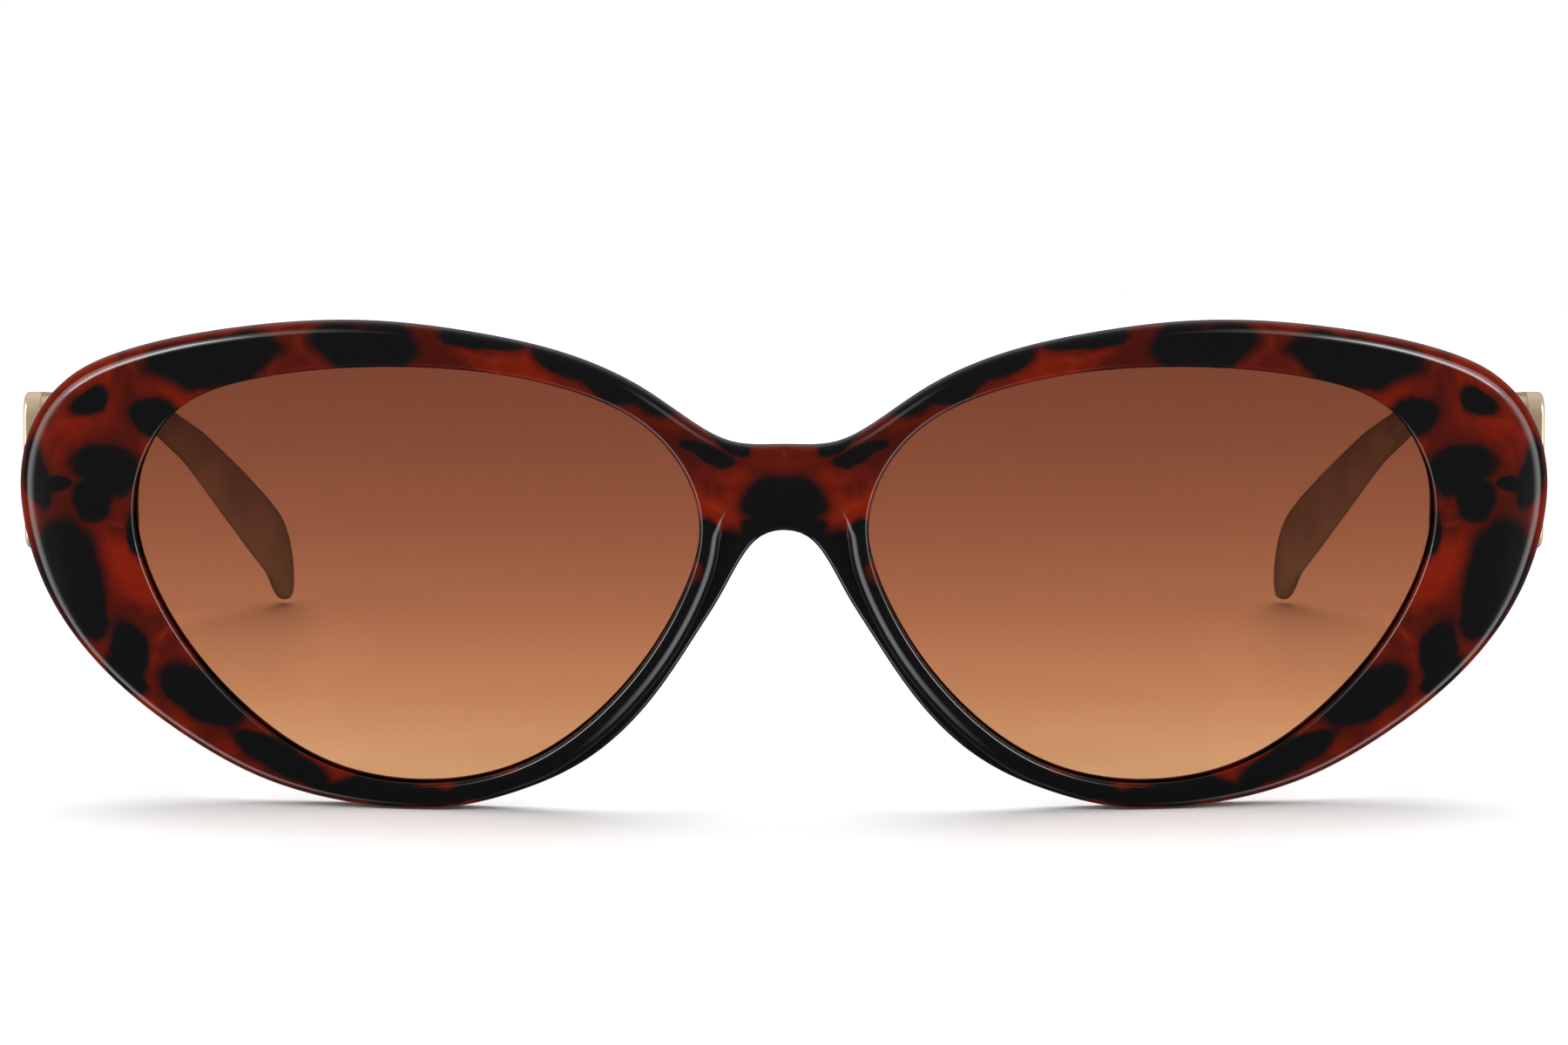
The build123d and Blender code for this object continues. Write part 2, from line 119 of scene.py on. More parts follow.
def closed_spline(points, count=6000):
    """Smooth closed curve through the points, sampled evenly along its length."""
    points = np.array(points, float)
    steps = np.linalg.norm(np.roll(points, -1, 0) - points, axis=1)
    before = np.roll(steps, 1)
    size = len(points)
    matrix = np.zeros((size, size))
    slopes = (np.roll(points, -1, 0) - points) / steps[:, None]
    for i in range(size):
        matrix[i, i - 1] += before[i]
        matrix[i, i] += 2 * (before[i] + steps[i])
        matrix[i, (i + 1) % size] += steps[i]
    bends = np.linalg.solve(matrix, 6 * (slopes - np.roll(slopes, 1, 0)))
    dense = []
    for i in range(size):
        step, here, there = steps[i], points[i], points[(i + 1) % size]
        share = np.linspace(0, 1, 200, endpoint=False)[:, None]
        bend, next_bend = bends[i], bends[(i + 1) % size]
        curve = (1 - share) * here + share * there
        curve += step ** 2 / 6 * (((1 - share) ** 3 - (1 - share)) * bend)
        curve += step ** 2 / 6 * ((share ** 3 - share) * next_bend)
        dense.append(curve)
    dense = np.vstack(dense)
    closed = np.vstack([dense, dense[:1]])
    lengths = np.r_[0, np.cumsum(np.linalg.norm(np.diff(closed, axis=0), axis=1))]
    wanted = np.linspace(0, lengths[-1], count, endpoint=False)
    return np.stack([np.interp(wanted, lengths, closed[:, k]) for k in (0, 1)], 1)


lens_curve = closed_spline(
    [(lens_x + across * half_width, lens_z + up * half_height) for across, up in LENS_SHAPE]
)


def on_lens_edge(shares):
    """Points (x, z) at shares of the lens's edge, and the outward directions there."""
    count = len(lens_curve)
    places = np.mod(np.asarray(shares, float), 1.0) * count
    index = np.floor(places).astype(int)
    part = (places - index)[:, None]
    here = lens_curve[index % count]
    there = lens_curve[(index + 1) % count]
    along = lens_curve[(index + 8) % count] - lens_curve[(index - 8) % count]
    along = along / np.linalg.norm(along, axis=1)[:, None]
    outward = np.stack([-along[:, 1], along[:, 0]], 1)
    return here * (1 - part) + there * part, outward


rim_shares = [share for share, width in RIM_WIDTHS]
rim_points, rim_outward = on_lens_edge(rim_shares)
rim_points = rim_points + rim_outward * np.array([[width] for share, width in RIM_WIDTHS])
half_outline = [(BRIDGE_FLAT, bridge_top)] + [tuple(point) for point in rim_points]
half_outline += [(across * half_gap, bridge_bottom - drop) for across, drop in ARCH_SHAPE]
mirrored_half = [(-x, z) for x, z in reversed(half_outline[:-1])]
outline = closed_spline(half_outline + mirrored_half + [(0, bridge_top)])


# ---- the front: a dense skin, rounded along its edges ----

AROUND = 440                # points round each lens
INNER_STEPS = 18            # across the rim, lens side
OUTER_STEPS = 24            # across the rim, outer side
WALL_STEPS = 5
# The nose flange, in shares of the lens's edge.
FLANGE_FROM = 0.50          # where it begins under the lens
FLANGE_FADE = 0.06
FLANGE_PAST_NOSE = 0.012    # how far it runs on past the middle of the nose
FLANGE_FADE_TOP = 0.02


def crossing(shares):
    """Distance from the lens's edge outwards to the outline or the middle of the nose."""
    start, outward = on_lens_edge(shares)
    edge_a, edge_b = outline, np.roll(outline, -1, 0)
    reach = np.full(len(start), np.inf)
    for i, (point, ray) in enumerate(zip(start, outward)):
        run = edge_b - edge_a
        gap = edge_a - point
        cross = ray[0] * run[:, 1] - ray[1] * run[:, 0]
        cross[np.abs(cross) < 1e-12] = 1e-12
        along = (gap[:, 0] * run[:, 1] - gap[:, 1] * run[:, 0]) / cross
        across = (gap[:, 0] * ray[1] - gap[:, 1] * ray[0]) / cross
        hits = along[(along > 0.5) & (across >= -1e-9) & (across <= 1 + 1e-9)]
        if len(hits):
            reach[i] = hits.min()
        if ray[0] < 0:
            reach[i] = min(reach[i], -point[0] / ray[0])
    return reach


def share_that_meets(height, low, high):
    """Share of the lens's edge whose outward ray meets the middle plane at a height."""
    for _ in range(50):
        middle = (low + high) / 2
        point, ray = on_lens_edge([middle])
        met = point[0, 1] - ray[0, 1] * point[0, 0] / ray[0, 0]
        if met < height:
            low = middle
        else:
            high = middle
    return (low + high) / 2


nose_bottom = share_that_meets(bridge_bottom, 0.70, 0.80)
nose_top = share_that_meets(bridge_top, 0.70, 0.83)
bridge_count = round(AROUND * (nose_top - nose_bottom))
rim_count = AROUND - bridge_count
shares = np.r_[
    np.linspace(nose_top, 1 + nose_bottom, rim_count, endpoint=False),
    np.linspace(1 + nose_bottom, 1 + nose_top, bridge_count, endpoint=False),
]
edge_points, edge_outward = on_lens_edge(shares)
widths = crossing(shares)


def even_outer_ends():
    """Spread the outer ends of the rim's rays smoothly along the outline."""
    hits = edge_points + edge_outward * widths[:, None]
    hits = hits[:rim_count + 1]
    hits[0], hits[-1] = (0.0, bridge_top), (0.0, bridge_bottom)
    size = len(outline)
    found = [int(((outline - hit) ** 2).sum(1).argmin()) for hit in hits]
    places = np.unwrap(np.array(found) * 2 * np.pi / size) * size / (2 * np.pi)
    for _ in range(60):
        places[1:-1] = (places[:-2] + 2 * places[1:-1] + places[2:]) / 4
    index = np.floor(places).astype(int)
    part = (places - index)[:, None]
    ends = outline[index % size] * (1 - part) + outline[(index + 1) % size] * part
    ends[0], ends[-1] = (0.0, bridge_top), (0.0, bridge_bottom)
    return ends


outer_ends = even_outer_ends()
rays = edge_outward.copy()
span = outer_ends - edge_points[:rim_count + 1]
widths[:rim_count + 1] = np.linalg.norm(span, axis=1)
rays[:rim_count + 1] = span / widths[:rim_count + 1, None]


def smooth(value):
    value = np.clip(value, 0, 1)
    return value * value * (3 - 2 * value)


def rounding(distance, radius):
    """How far a rounded edge falls away at a distance from it."""
    inside = np.clip(radius - distance, 0, radius)
    return radius - np.sqrt(radius ** 2 - inside ** 2)


def outline_distance(points):
    """Distance from each point to the outer outline."""
    coarse = outline[::2]
    ahead = np.roll(coarse, -1, 0)
    run = ahead - coarse
    length = (run ** 2).sum(1)
    found = np.empty(len(points))
    for start in range(0, len(points), 500):
        part = points[start:start + 500, None, :]
        along = np.clip(((part - coarse) * run).sum(2) / length, 0, 1)
        gap = part - (coarse + along[..., None] * run)
        found[start:start + 500] = np.sqrt((gap ** 2).sum(2)).min(1)
    return found


def eased(count, start=True, end=True):
    """Steps from 0 to 1 that crowd towards the ends."""
    steps = np.linspace(0, 1, count + 1)
    if start and end:
        return (1 - np.cos(np.pi * steps)) / 2
    return 1 - np.cos(np.pi / 2 * steps) if start else np.sin(np.pi / 2 * steps)


# The flange is cut back only on the nose side: it starts under the bridge and fades below.
flange_share = np.mod(shares, 1.0)
flange_near_bridge = smooth((nose_bottom + FLANGE_PAST_NOSE - flange_share) / FLANGE_FADE_TOP)
flange_below = smooth((flange_share - FLANGE_FROM) / FLANGE_FADE)
flange = flange_near_bridge * flange_below
crease = np.where(
    flange > 0,
    np.minimum(BEAD_WIDTH, widths - BEAD_MARGIN),
    np.minimum(CREASE_SHARE * widths, widths - CREASE_MARGIN),
)
for _ in range(6):
    crease = (np.roll(crease, 1) + 2 * crease + np.roll(crease, -1)) / 4
inner = eased(INNER_STEPS)[None, :] * crease[:, None]
outer = crease[:, None] + eased(OUTER_STEPS)[None, 1:] * (widths - crease)[:, None]
across = np.hstack([inner, outer])
columns = across.shape[1]
grid = edge_points[:, None, :] + rays[:, None, :] * across[..., None]
on_middle = np.arange(AROUND) >= rim_count
grid[on_middle, -1, 0] = 0.0
grid[0, -1] = (0.0, bridge_top)
grid[rim_count, -1] = (0.0, bridge_bottom)
from_outline = outline_distance(grid.reshape(-1, 2)).reshape(AROUND, columns)
from_outline[:rim_count + 1, -1] = 0.0
grid_x, grid_z = grid[..., 0], grid[..., 1]

past_crease = across - crease[:, None]
step_back = np.where(
    past_crease < 0, rounding(-past_crease, BEAD_EDGE) * FLANGE_DROP / BEAD_EDGE, FLANGE_DROP
)
front_face = front_y + sag(grid_x, grid_z)
lower_part = smooth((LOWER_TOP - edge_points[:, 1]) / LOWER_BLEND)
outer_radius = OUTER_EDGE + lower_part * (LOWER_EDGE - OUTER_EDGE)
outer_radius = (outer_radius + flange * (FLANGE_EDGE - outer_radius))[:, None]
front_face += rounding(from_outline, outer_radius) + rounding(across, LENS_SIDE_EDGE)
front_face += flange[:, None] * step_back

boss_middle = (
    (boss_low[0] + boss_high[0]) / 2 - BOSS_SHIFT,
    (boss_low[2] + boss_high[2]) / 2,
)
boss_half = (
    (boss_high[0] - boss_low[0]) / 2 + BOSS_MARGIN[0],
    (boss_high[2] - boss_low[2]) / 2 + BOSS_MARGIN[1],
)
beyond = np.hypot(
    np.clip(np.abs(grid_x - boss_middle[0]) - boss_half[0], 0, None),
    np.clip(np.abs(grid_z - boss_middle[1]) - boss_half[1], 0, None),
)
back_face = front_y + sag(grid_x, grid_z, FRONT_THICKNESS)
back_face = back_face + (boss_y - back_face) * smooth(1 - beyond / BOSS_BLEND)
back_face -= rounding(from_outline, BACK_EDGE) + rounding(across, GROOVE_EDGE)


def mesh_piece(name, points, faces, body, sharp=40):
    """A smooth-shaded mesh object from points in millimetres, riding on a body."""
    mesh = bpy.data.meshes.new(name)
    mesh.from_pydata((np.asarray(points) * MM).tolist(), [], faces)
    mesh.validate()
    mesh.shade_smooth()
    mesh.set_sharp_from_angle(angle=math.radians(sharp))
    piece = bpy.data.objects.new(name, mesh)
    bpy.context.scene.collection.objects.link(piece)
    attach(piece, body)
    return piece


def strip(first, second, closed=True):
    """Quads between two rows of point numbers."""
    count = len(first)
    span = range(count if closed else count - 1)
    return [
        (first[i], first[(i + 1) % count], second[(i + 1) % count], second[i]) for i in span
    ]


def front_half():
    """Points and faces of one rim and half the bridge, on the wearer's left."""
    points, faces = [], []

    def sheet(heights):
        start = len(points)
        for row in range(AROUND):
            for column in range(columns):
                points.append((grid_x[row, column], heights[row, column], grid_z[row, column]))
        return start + np.arange(AROUND * columns).reshape(AROUND, columns)

    front_rows = sheet(front_face)
    back_rows = sheet(back_face)
    for column in range(columns - 1):
        faces += strip(front_rows[:, column], front_rows[:, column + 1])
        faces += strip(back_rows[:, column + 1], back_rows[:, column])

    def row_at(place, depth):
        start = len(points)
        points.extend((x, y, z) for (x, z), y in zip(place, depth))
        return np.arange(start, len(points))

    # outer wall, from the front's edge to the back's
    rim = slice(0, rim_count + 1)
    rows = [front_rows[rim, -1]]
    for step in range(1, WALL_STEPS):
        share = step / WALL_STEPS
        depth = (1 - share) * front_face[rim, -1] + share * back_face[rim, -1]
        rows.append(row_at(grid[rim, -1], depth))
    rows.append(back_rows[rim, -1])
    for first, second in zip(rows, rows[1:]):
        faces.extend(strip(first, second, closed=False))

    # inner wall, with the groove that holds the lens
    groove = edge_points + edge_outward * (GROOVE_DEPTH + GROOVE_ROOM)
    near = front_y + sag(edge_points[:, 0], edge_points[:, 1], LENS_RECESS)
    far = front_y + sag(edge_points[:, 0], edge_points[:, 1], LENS_RECESS + LENS_THICKNESS)
    deep_near = front_y + sag(groove[:, 0], groove[:, 1], LENS_RECESS)
    deep_far = front_y + sag(groove[:, 0], groove[:, 1], LENS_RECESS + LENS_THICKNESS)
    rows = [
        front_rows[:, 0], row_at(edge_points, near), row_at(groove, deep_near),
        row_at(groove, deep_far), row_at(edge_points, far), back_rows[:, 0],
    ]
    for first, second in zip(rows, rows[1:]):
        faces.extend(strip(second, first))
    return np.array(points), faces


def welded(points, faces):
    """Join points that coincide."""
    keys = np.round(points, 4)
    unique, first, inverse = np.unique(keys, axis=0, return_index=True, return_inverse=True)
    inverse = inverse.reshape(-1)
    kept = []
    for face in faces:
        ring = [int(inverse[i]) for i in face]
        ring = [v for k, v in enumerate(ring) if v != ring[k - 1]]
        if len(set(ring)) > 2:
            kept.append(tuple(ring))
    return points[first], kept


def build_front():
    points, faces = front_half()
    other = points * np.array([-1, 1, 1])
    mirrored = [tuple(i + len(points) for i in reversed(face)) for face in faces]
    points, faces = welded(np.vstack([points, other]), faces + mirrored)
    piece = mesh_piece("front_shell", points, faces, "front", sharp=55)
    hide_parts("front")
    return piece


# ---- lenses ----

LENS_RINGS = 26


def build_lens(side):
    """A curved shell that fills the groove."""
    sign = SIDES[side]
    rim_edge = edge_points + edge_outward * GROOVE_DEPTH
    middle = np.array([lens_x, lens_z])
    points, faces = [], []
    for depth in (LENS_RECESS, LENS_RECESS + LENS_THICKNESS):
        points.append((sign * lens_x, front_y + sag(lens_x, lens_z, depth), lens_z))
        for ring in range(1, LENS_RINGS + 1):
            place = middle + (rim_edge - middle) * ring / LENS_RINGS
            depths = front_y + sag(place[:, 0], place[:, 1], depth)
            points += [(sign * x, y, z) for (x, z), y in zip(place, depths)]
    half = 1 + LENS_RINGS * AROUND
    for base, order in ((0, 1), (half, -1)):
        first = base + 1 + np.arange(AROUND)
        faces += [
            (base, int(here), int(there))[::order]
            for here, there in zip(first, np.roll(first, -1))
        ]
        for ring in range(1, LENS_RINGS):
            inside = base + 1 + (ring - 1) * AROUND + np.arange(AROUND)
            faces += [face[::order] for face in strip(inside, inside + AROUND)]
    last = 1 + (LENS_RINGS - 1) * AROUND + np.arange(AROUND)
    faces += strip(last, last + half)
    if sign < 0:
        faces = [tuple(reversed(face)) for face in faces]
    piece = mesh_piece(f"lens_shell_{side}", points, faces, "front", sharp=60)
    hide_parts(f"lens_{side}")
    return piece


# ---- temple tips ----

SLEEVE_LENGTH = 59.0
SLEEVE_HALF_WIDTH = 1.6
SLEEVE_MOUTH = 1.45
SLEEVE_TALLEST = 3.7
SLEEVE_END = 2.6
SLEEVE_INWARD = 7.9
SLEEVE_DIP = 1.9            # how much the middle of the rounded end falls away
ARM_THICKNESS = 1.5
ARM_SLIM = 2.4
TEMPLE_LENGTH = 133.0
TEMPLE_DROP = math.radians(6.2)
TEMPLE_INWARD = math.radians(1.9)
# Shares along the sleeve, down to the table, inwards, and grown in height.
SLEEVE_STATIONS = np.array([
    (0.0, 0.0, 0.0, 0.0), (0.12, 0.042, 0.0, 0.03), (0.24, 0.11, 0.02, 0.11),
    (0.41, 0.246, 0.228, 0.32), (0.53, 0.389, 0.43, 0.56), (0.64, 0.539, 0.658, 0.79),
    (0.76, 0.685, 0.848, 0.985), (0.86, 0.8, 0.975, 1.0), (1.0, 1.0, 1.0, 0.51),
])
TIP_STEPS = 90              # sections along the sleeve, before its rounded end
TIP_END_STEPS = 25          # sections in the rounded end
TIP_SIDES = 48
TIP_CLEARANCE = 0.02        # above the table
ROUND_SHARE = 0.115         # of the sleeve, rounded off at its end
# Smoothing over the stations' corners, in samples of a thousandth of the sleeve.
SAMPLES = 1000
SPARE = 200                 # samples added beyond each end
SOFT_WIDTH = 141            # samples that each value is averaged over
END_SLOPE = 5               # samples that give the slope at an end


def softened(shares, values, wanted):
    """Values between stations, smoothed over their corners."""
    total = SAMPLES + 2 * SPARE + 1
    last = SPARE + SAMPLES
    places = np.linspace(-SPARE / SAMPLES, 1 + SPARE / SAMPLES, total)
    fine = np.interp(places, shares, values)
    beyond_start, beyond_end = slice(0, SPARE), slice(last + 1, total)
    for end, inside, run in (
        (SPARE, SPARE + END_SLOPE, beyond_start), (last, last - END_SLOPE, beyond_end)
    ):
        slope = (fine[inside] - fine[end]) / (inside - end)
        fine[run] = fine[end] + slope * (np.arange(total)[run] - end)
    kernel = np.hanning(SOFT_WIDTH)
    smoothed = np.convolve(fine, kernel / kernel.sum(), mode="same")
    return np.interp(wanted, places, smoothed)


def build_tip(side):
    """A plastic sleeve that swells to a flat paddle with a rounded end."""
    sign = SIDES[side]
    arm_low, arm_high = (millimetres(corner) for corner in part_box("temple_arm_left"))
    along = np.array([-math.sin(TEMPLE_INWARD), math.cos(TEMPLE_INWARD), 0.0])
    outwards = np.array([math.cos(TEMPLE_INWARD), math.sin(TEMPLE_INWARD), 0.0])
    origin = np.array([arm_high[0] - ARM_THICKNESS * outwards[0], arm_low[1], 0.0])
    start = TEMPLE_LENGTH - SLEEVE_LENGTH
    start_z = arm_high[2] - start * math.tan(TEMPLE_DROP) - ARM_SLIM / 2
    ends = np.sin(np.pi / 2 * np.linspace(0, 1, TIP_END_STEPS + 1)[1:])
    shares = np.r_[np.linspace(0, 1 - ROUND_SHARE, TIP_STEPS), 1 - ROUND_SHARE * (1 - ends)]
    columns = SLEEVE_STATIONS.T
    down = softened(columns[0], columns[1], shares)
    inwards = softened(columns[0], columns[2], shares)
    grown = softened(columns[0], columns[3], shares)
    reach = start + shares * SLEEVE_LENGTH
    left_over = np.clip((shares - (1 - ROUND_SHARE)) / ROUND_SHARE, 0, 1)
    height = start_z - down * (start_z - SLEEVE_END) - left_over ** 2 * SLEEVE_DIP
    sideways = ARM_THICKNESS / 2 - inwards * SLEEVE_INWARD
    centres = origin + reach[:, None] * along + sideways[:, None] * outwards
    centres[:, 2] = height
    run = np.gradient(centres, axis=0)
    run /= np.linalg.norm(run, axis=1)[:, None]
    across = np.cross(run, (0, 0, 1))
    across /= np.linalg.norm(across, axis=1)[:, None]
    upwards = np.cross(across, run)
    closing = np.sqrt(np.clip(1 - left_over ** 2, 0, 1))
    tall = (SLEEVE_MOUTH + grown * (SLEEVE_TALLEST - SLEEVE_MOUTH)) * closing
    wide = SLEEVE_HALF_WIDTH * np.sqrt(closing)
    wide[-1] = 0.0
    turn = np.linspace(0, 2 * np.pi, TIP_SIDES, endpoint=False)
    rings = centres[:, None, :]
    rings = rings + (tall[:, None] * np.sin(turn))[..., None] * upwards[:, None, :]
    rings = rings + (wide[:, None] * np.cos(turn))[..., None] * across[:, None, :]
    rings[..., 2] = np.maximum(rings[..., 2], TIP_CLEARANCE)
    points = rings[:-1].reshape(-1, 3).tolist()
    points += [centres[-1].tolist(), centres[0].tolist()]
    rows = np.arange(len(points) - 2).reshape(-1, TIP_SIDES)
    faces = []
    for first, second in zip(rows, rows[1:]):
        faces += strip(first, second)
    tip_point, mouth_point = len(points) - 2, len(points) - 1
    for k in range(TIP_SIDES):
        after = (k + 1) % TIP_SIDES
        faces.append((int(rows[-1][k]), int(rows[-1][after]), tip_point))
        faces.append((int(rows[0][after]), int(rows[0][k]), mouth_point))
    points = np.array(points) * np.array([sign, 1, 1])
    if sign < 0:
        faces = [tuple(reversed(face)) for face in faces]
    piece = mesh_piece(f"tip_sleeve_{side}", points, faces, f"temple_{side}", sharp=50)
    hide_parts(f"temple_tip_{side}")
    return piece


front_piece = build_front()
tip_pieces = [build_tip(side) for side in SIDES]
lens_pieces = [build_lens(side) for side in SIDES]


# ---- materials ----


class Shader:
    """A material's node tree, with short ways to add nodes."""

    def __init__(self, name):
        self.material = bpy.data.materials.new(name)
        self.material.use_nodes = True
        self.tree = self.material.node_tree
        self.tree.nodes.clear()
        self.out = self.tree.nodes.new("ShaderNodeOutputMaterial")

    def node(self, kind, values=(), **settings):
        made = self.tree.nodes.new("ShaderNode" + kind)
        for key, value in settings.items():
            setattr(made, key, value)
        for key, value in dict(values).items():
            if isinstance(value, bpy.types.NodeSocket):
                self.tree.links.new(value, made.inputs[key])
            else:
                made.inputs[key].default_value = value
        return made

    def math(self, operation, first, second=0.0, clamp=False):
        made = self.node("Math", {0: first, 1: second}, operation=operation, use_clamp=clamp)
        return made.outputs[0]

    def vector(self, operation, first, second):
        return self.node("VectorMath", {0: first, 1: second}, operation=operation).outputs[0]

    def mix(self, share, first, second):
        made = self.node("Mix", {0: share}, data_type="RGBA")
        for socket, value in ((made.inputs[6], first), (made.inputs[7], second)):
            if isinstance(value, bpy.types.NodeSocket):
                self.tree.links.new(value, socket)
            else:
                socket.default_value = (*value, 1.0)
        return made.outputs[2]

    def noise(self, place, scale, detail=2.0, roughness=0.5, distortion=0.0):
        made = self.node(
            "TexNoise",
            {
                "Vector": place, "Scale": scale, "Detail": detail,
                "Roughness": roughness, "Distortion": distortion,
            },
        )
        return made.outputs["Fac"]

    def ramp(self, value, low, high):
        made = self.node(
            "MapRange", {"Value": value, "From Min": low, "From Max": high},
            interpolation_type="SMOOTHSTEP",
        )
        return made.outputs["Result"]

    def principled(self, colour, roughness, normal=None, **values):
        made = self.node("BsdfPrincipled")
        inputs = {"Base Color": colour, "Roughness": roughness}
        inputs.update({key.replace("_", " "): value for key, value in values.items()})
        if normal is not None:
            inputs["Normal"] = normal
        for key, value in inputs.items():
            if isinstance(value, bpy.types.NodeSocket):
                self.tree.links.new(value, made.inputs[key])
            elif key == "Base Color":
                made.inputs[key].default_value = (*value, 1.0)
            else:
                made.inputs[key].default_value = value
        return made.outputs[0]

    def finish(self, surface):
        self.tree.links.new(surface, self.out.inputs["Surface"])
        return self.material


# Dark patches of the tortoiseshell on one half of the front: middle across and up in
# millimetres, half length, half width, and tilt in degrees.
PATCHES = [
    (53.5, 42.5, 6.5, 2.4, -8), (59.4, 37.0, 3.3, 1.9, 8), (66.0, 38.4, 2.2, 1.2, -35),
    (64.7, 31.8, 3.3, 2.6, 0), (66.1, 28.8, 2.2, 2.1, 90), (61.4, 25.8, 2.6, 0.9, 76),
    (71.2, 30.7, 3.5, 1.2, 86), (69.8, 30.0, 1.7, 0.8, 0), (67.7, 22.0, 5.1, 3.3, 66),
    (66.4, 18.3, 3.0, 2.3, 60), (62.2, 14.9, 3.1, 1.8, 80), (62.5, 12.4, 2.5, 1.2, 48),
    (55.3, 10.4, 4.9, 2.6, 30), (47.4, 4.4, 5.7, 1.5, 25), (37.1, 1.8, 6.5, 1.3, 3),
    (26.7, 2.5, 6.2, 1.4, -8), (20.5, 5.7, 5.9, 2.2, -32), (14.1, 11.3, 5.4, 2.8, -48),
    (8.5, 18.4, 5.4, 2.9, -60), (5.5, 23.3, 3.4, 2.4, -68), (7.3, 25.9, 2.1, 1.1, 88),
    (5.2, 35.4, 2.1, 0.8, 28), (39.5, 44.1, 5.0, 2.3, 3), (28.1, 44.9, 4.6, 1.2, 10),
    (17.1, 41.5, 8.2, 1.6, 27), (7.2, 34.3, 2.6, 0.8, 14), (0.0, 29.5, 3.6, 2.8, 0),
    (2.6, 26.3, 1.6, 1.6, 0),
]
RED = (0.190, 0.0120, 0.0030)
DEEP_RED = (0.052, 0.0062, 0.0040)
# orange of the painted glow, which stands for light shining through the amber plastic
ORANGE = (0.30, 0.036, 0.009)
NEAR_BLACK = (0.0052, 0.0050, 0.0052)
# Noises that bend the patches' outlines: scale, detail, roughness and reach in metres.
WOBBLES = [(190.0, 1.0, 0.4, 0.0026), (700.0, 2.0, 0.5, 0.0006)]
PATCH_JOIN = 0.18           # how softly patches that meet run together
# Where a patch and the darker red round it begin and are full, in patch sizes.
PATCH_EDGE = (1.16, 0.86)
HALO_EDGE = (1.55, 0.95)
PAINTED_GLOW_SHARE = 0.30           # most orange in the red, a painted glow that stands for light shining through the amber plastic
HALO_SHARE = 0.75           # most dark red round a patch


def tortoiseshell(name, patches):
    """Polished plastic: soft dark patches in a red-brown that varies in streaks, and a painted
    orange glow for light shining through.
    """
    made = Shader(name)
    place = made.node("TexCoord").outputs["Object"]
    across, depth, up = (made.node("SeparateXYZ", {0: place}).outputs[k] for k in range(3))
    folded = made.node("CombineXYZ", {0: made.math("ABSOLUTE", across), 1: depth, 2: up})
    folded = folded.outputs[0]
    place = folded
    for scale, detail, roughness, reach in WOBBLES:
        wobble = made.node(
            "TexNoise",
            {"Vector": folded, "Scale": scale, "Detail": detail, "Roughness": roughness},
        )
        centred = made.vector("SUBTRACT", wobble.outputs["Color"], (0.5, 0.5, 0.5))
        shift = made.node("VectorMath", {0: centred, "Scale": reach}, operation="SCALE")
        place = made.vector("ADD", place, shift.outputs[0])
    dark = None
    for middle_x, middle_z, length, width, tilt in patches:
        turned = made.node(
            "Mapping",
            {
                "Vector": place,
                "Location": (middle_x * MM, 0.0, middle_z * MM),
                "Rotation": (0.0, -math.radians(tilt), 0.0),
                "Scale": (length * MM, 1.0, width * MM),
            },
            vector_type="TEXTURE",
        ).outputs[0]
        flat = made.vector("MULTIPLY", turned, (1.0, 0.0, 1.0))
        size = made.node("VectorMath", {0: flat}, operation="LENGTH").outputs["Value"]
        dark = size if dark is None else made.node(
            "Math", {0: dark, 1: size, 2: PATCH_JOIN}, operation="SMOOTH_MIN"
        ).outputs[0]
    patch = made.ramp(dark, *PATCH_EDGE)
    halo = made.ramp(dark, *HALO_EDGE)
    streak = made.noise(folded, 120.0, 4.0, 0.6, 0.6)
    # painted glow: orange blotches placed at random, standing for light shining through the amber
    # plastic
    painted_glow = made.ramp(made.noise(folded, 210.0, 3.0, 0.55, 0.8), 0.60, 0.74)
    colour = made.mix(made.ramp(streak, 0.36, 0.64), DEEP_RED, RED)
    colour = made.mix(made.math("MULTIPLY", painted_glow, PAINTED_GLOW_SHARE), colour, ORANGE)
    colour = made.mix(made.math("MULTIPLY", halo, HALO_SHARE), colour, DEEP_RED)
    colour = made.mix(patch, colour, NEAR_BLACK)
    ripple = made.noise(folded, 620.0, 2.0, 0.5)
    bump = made.node(
        "Bump", {"Height": ripple, "Strength": 0.015, "Distance": 0.0004}
    ).outputs[0]
    shine = made.math("ADD", made.math("MULTIPLY", ripple, 0.03), 0.045)
    surface = made.principled(
        colour, shine, bump, Specular_IOR_Level=0.30, IOR=1.47, Coat_Weight=0.25,
        Coat_Roughness=0.03,
    )
    return made.finish(surface)


# Tint of the lens, seen against white, from the lowest to the highest share of its height.
TINTS = [
    (0.02, (0.620, 0.330, 0.165)), (0.22, (0.420, 0.180, 0.083)), (0.42, (0.300, 0.110, 0.053)),
    (0.62, (0.222, 0.073, 0.036)), (0.80, (0.180, 0.056, 0.028)), (0.98, (0.150, 0.045, 0.024)),
]


